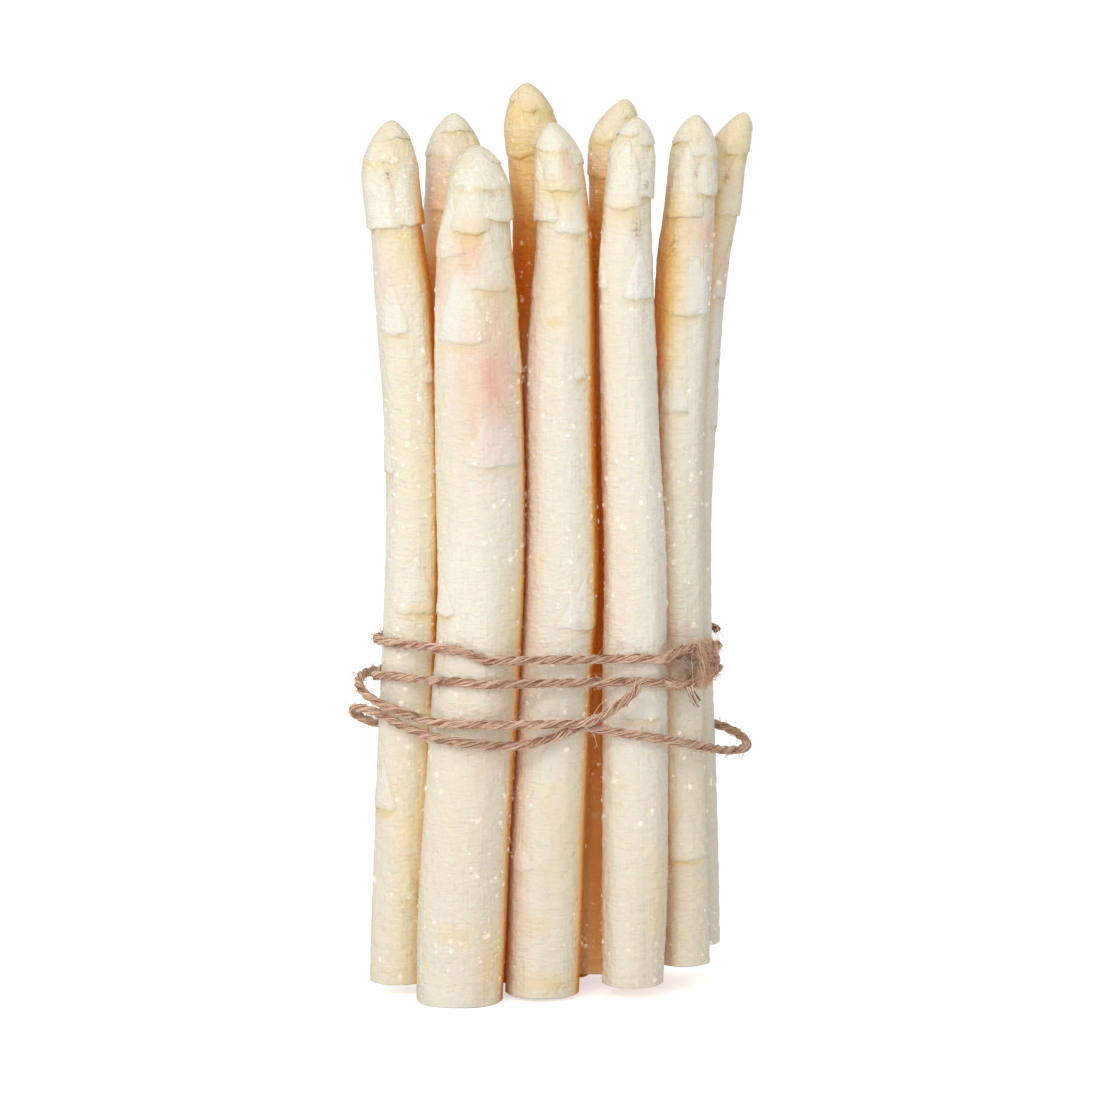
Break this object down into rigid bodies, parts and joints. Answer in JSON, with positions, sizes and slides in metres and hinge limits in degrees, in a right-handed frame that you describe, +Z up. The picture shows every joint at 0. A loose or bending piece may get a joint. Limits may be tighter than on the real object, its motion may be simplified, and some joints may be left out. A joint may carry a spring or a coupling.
{
  "type": "bundle of asparagus",
  "caption": "Standing bunch of white asparagus spears with scaly buds, tied a third of the way up with turns and a loose loop of jute twine.",
  "frame": {"origin": "on the ground under the middle of the bunch of spears", "axes": "+Z up along the spears from their cut ends to their tips, -Y towards the viewer of the picture, +X to the viewer's right"},
  "size_m": [0.1019, 0.0641, 0.2296],
  "materials": {
    "asparagus": "moist ivory skin, slightly translucent, with a soft sheen",
    "jute": "dry, hairy, loosely twisted plant fibre"
  },
  "bodies": {
    "root": {"spear_front_1": "asparagus", "spear_front_2": "asparagus", "spear_front_3": "asparagus", "spear_front_4": "asparagus", "spear_front_5": "asparagus", "spear_middle_1": "asparagus", "spear_middle_2": "asparagus", "spear_middle_3": "asparagus", "spear_middle_4": "asparagus", "spear_back_1": "asparagus", "spear_back_2": "asparagus", "spear_back_3": "asparagus", "twine": "jute", "twine_knot": "jute"}
  },
  "joints": []
}
